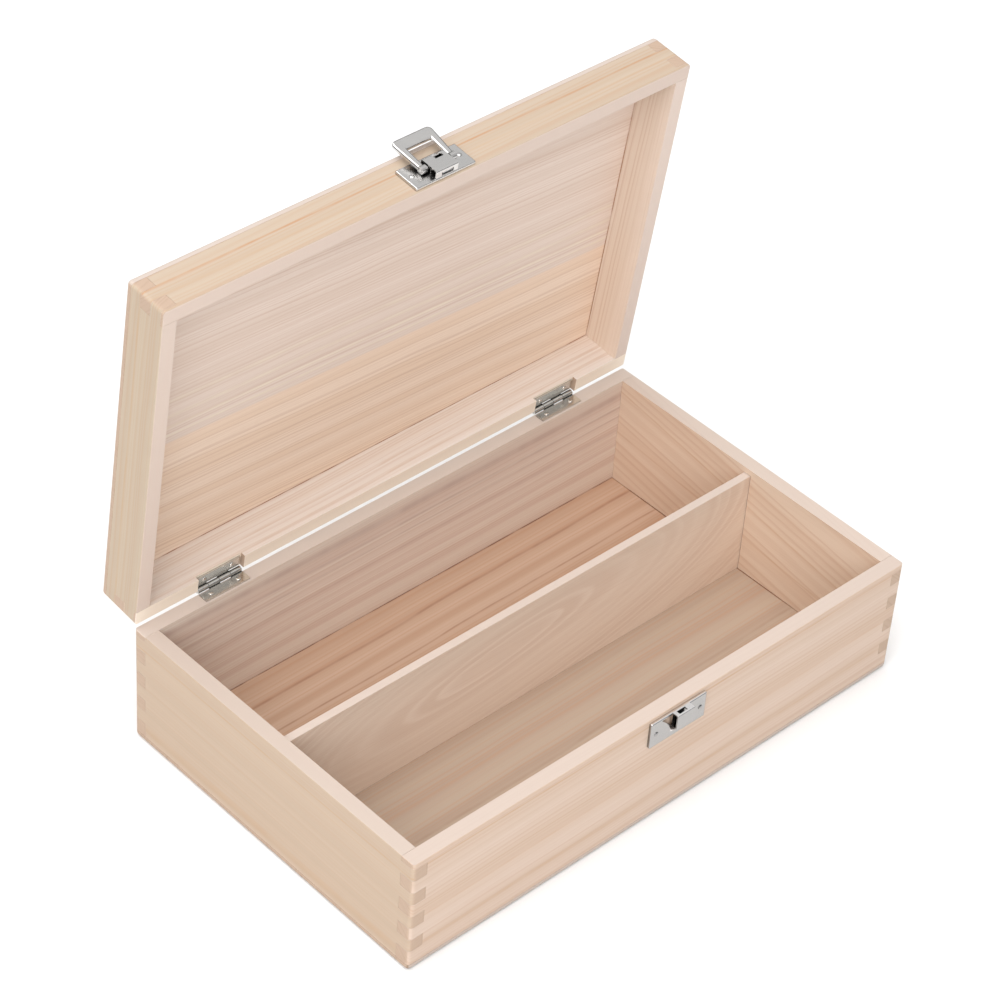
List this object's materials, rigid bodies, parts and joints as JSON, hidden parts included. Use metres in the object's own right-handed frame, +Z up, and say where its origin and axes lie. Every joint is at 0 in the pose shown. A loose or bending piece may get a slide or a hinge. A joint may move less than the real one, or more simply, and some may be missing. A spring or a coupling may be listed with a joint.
{
  "type": "art supply box",
  "caption": "Finger-jointed wooden art supply box: a long divider, a lid on small hinges that stands open on its stop, and a catch whose loop swings over a strike on the front.",
  "frame": {"origin": "centre of the base's underside, on the surface the box stands on", "axes": "+X along the box's length to its right seen from the front, +Y to the back where the hinges are, +Z up"},
  "size_m": [0.3, 0.213, 0.2593],
  "materials": {
    "wall_wood": "bare, sanded",
    "floor_wood": "bare, sanded",
    "divider_wood": "bare, sanded",
    "panel_wood": "bare, sanded",
    "nickel": "bright nickel plate"
  },
  "bodies": {
    "base": {"base_front_wall": "wall_wood", "base_back_wall": "wall_wood", "base_left_wall": "wall_wood", "base_right_wall": "wall_wood", "base_bottom_panel": "floor_wood", "compartment_divider": "divider_wood", "strike_plate": "nickel", "strike_nail_left": "nickel", "strike_nail_right": "nickel", "left_hinge_base_leaf": "nickel", "left_hinge_pin": "nickel", "left_hinge_base_nail_left": "nickel", "left_hinge_base_nail_right": "nickel", "right_hinge_base_leaf": "nickel", "right_hinge_pin": "nickel", "right_hinge_base_nail_left": "nickel", "right_hinge_base_nail_right": "nickel"},
    "lid": {"lid_front_wall": "wall_wood", "lid_back_wall": "wall_wood", "lid_left_wall": "wall_wood", "lid_right_wall": "wall_wood", "lid_panel": "panel_wood", "catch_plate": "nickel", "catch_spring": "nickel", "catch_nail_left": "nickel", "catch_nail_right": "nickel", "left_hinge_lid_leaf": "nickel", "left_hinge_lid_nail_left": "nickel", "left_hinge_lid_nail_right": "nickel", "right_hinge_lid_leaf": "nickel", "right_hinge_lid_nail_left": "nickel", "right_hinge_lid_nail_right": "nickel"},
    "loop": {"catch_loop": "nickel", "catch_rod": "nickel"}
  },
  "joints": [
    {"name": "lid_hinge", "type": "hinge", "parent": "base", "child": "lid", "pos_m": [0, 0.0932, 0.0654], "axis": [1, 0, 0], "range_deg": [0, 83.5]},
    {"name": "loop_pivot", "type": "hinge", "parent": "lid", "child": "loop", "pos_m": [0.003, 0.07813, 0.25421], "axis": [1, 0, 0], "range_deg": [0, 161]}
  ]
}
